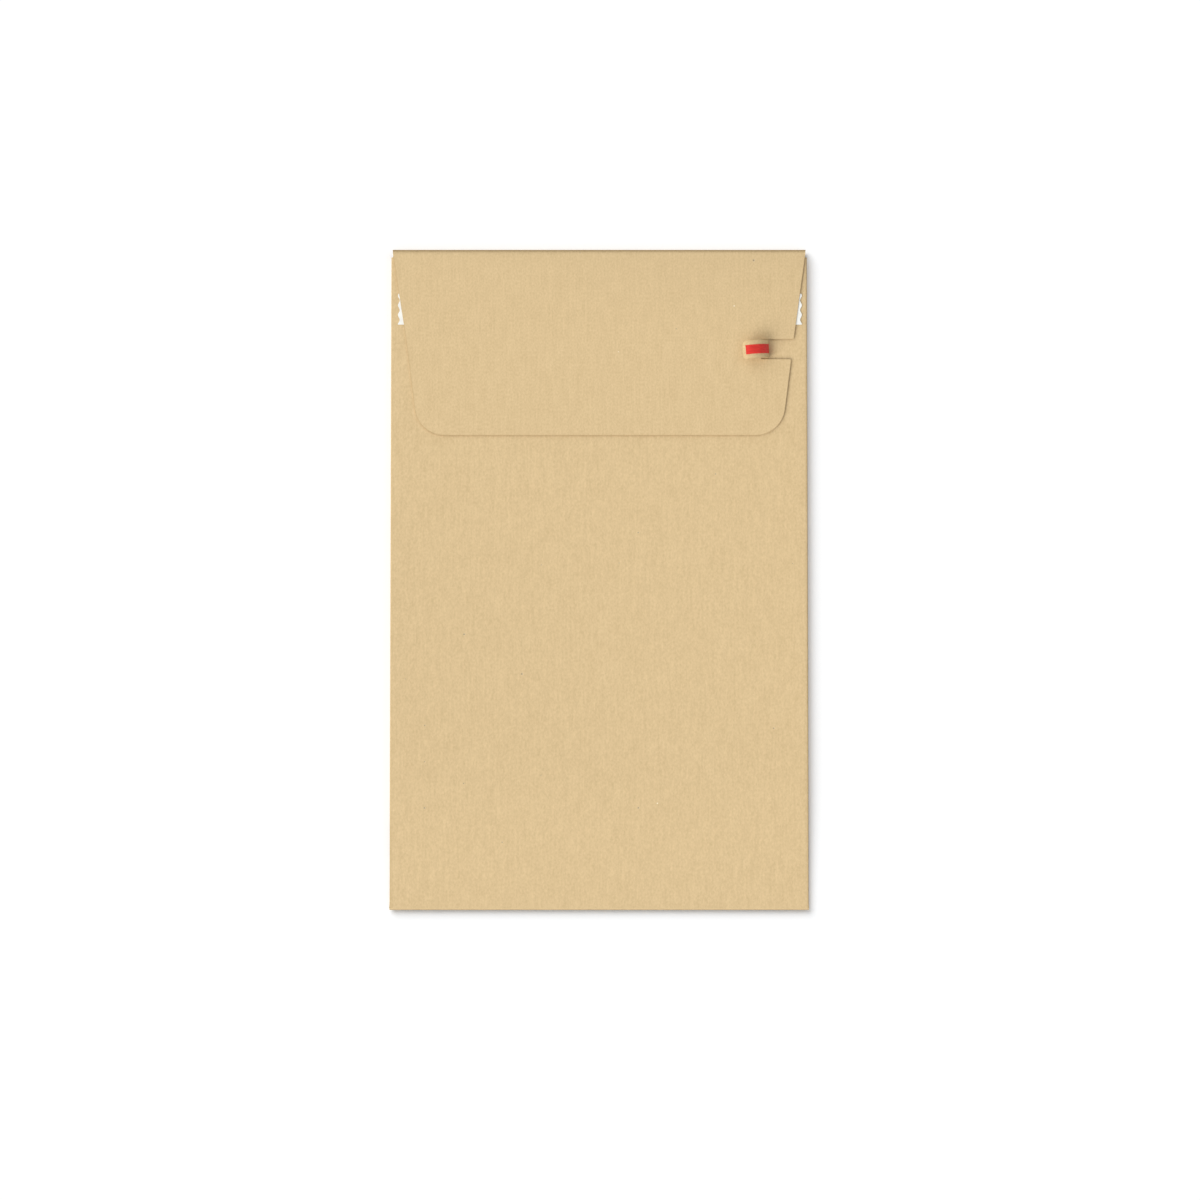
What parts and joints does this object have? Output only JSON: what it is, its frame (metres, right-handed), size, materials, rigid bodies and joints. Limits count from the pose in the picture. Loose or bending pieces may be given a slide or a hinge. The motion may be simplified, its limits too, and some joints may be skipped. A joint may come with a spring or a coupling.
{
  "type": "paper mailing bag",
  "caption": "Flat kraft paper mailing bag with side gussets, a pinched bottom and a folding flap that carries adhesive strips and a tear tape.",
  "frame": {"origin": "centre of the bag's outline, on the surface that its back lies on", "axes": "+X across the bag towards the tear tab, +Y from the pinched bottom to the flap fold, +Z out of the front panel"},
  "size_m": [0.24, 0.38, 0.0138],
  "materials": {
    "kraft": "matte",
    "kraft_inside": "matte",
    "glue": "satin",
    "adhesive": "gloss",
    "release_paper": "satin",
    "red_film": "satin"
  },
  "bodies": {
    "pouch": {"back_panel": "kraft", "front_panel": "kraft", "side_seam_glue": "glue", "side_seam_lap": "kraft_inside", "left_gusset_rear_leaf": "kraft_inside", "left_gusset_front_leaf": "kraft_inside", "right_gusset_rear_leaf": "kraft_inside", "right_gusset_front_leaf": "kraft_inside", "bottom_flap": "kraft", "bottom_glue": "glue"},
    "flap": {"flap": "kraft", "flap_fold": "kraft", "return_adhesive": "adhesive", "closure_adhesive": "adhesive", "tear_tape": "red_film", "tear_tab_bend": "kraft"},
    "return_liner": {"return_liner": "release_paper"},
    "closure_liner": {"closure_liner": "release_paper"},
    "tear_tab": {"tear_tab": "kraft", "tear_tab_tape": "red_film"}
  },
  "joints": [
    {"name": "flap_hinge", "type": "hinge", "parent": "pouch", "child": "flap", "pos_m": [0, 0.18718, 0.00343], "axis": [-1, 0, 0], "range_deg": [0, 175], "deforming": ["flap_fold"]},
    {"name": "tear_tab_fold", "type": "hinge", "parent": "flap", "child": "tear_tab", "pos_m": [0.09561, 0.13195, 0.00852], "axis": [-0.041, 0.9992, 0], "range_deg": [0, 140], "deforming": ["tear_tab_bend"]},
    {"name": "return_liner_peel", "type": "slide", "parent": "flap", "child": "return_liner", "axis": [1, 0, 0], "range_m": [0, 0.235]},
    {"name": "closure_liner_peel", "type": "slide", "parent": "flap", "child": "closure_liner", "axis": [1, 0, 0], "range_m": [0, 0.21]}
  ]
}
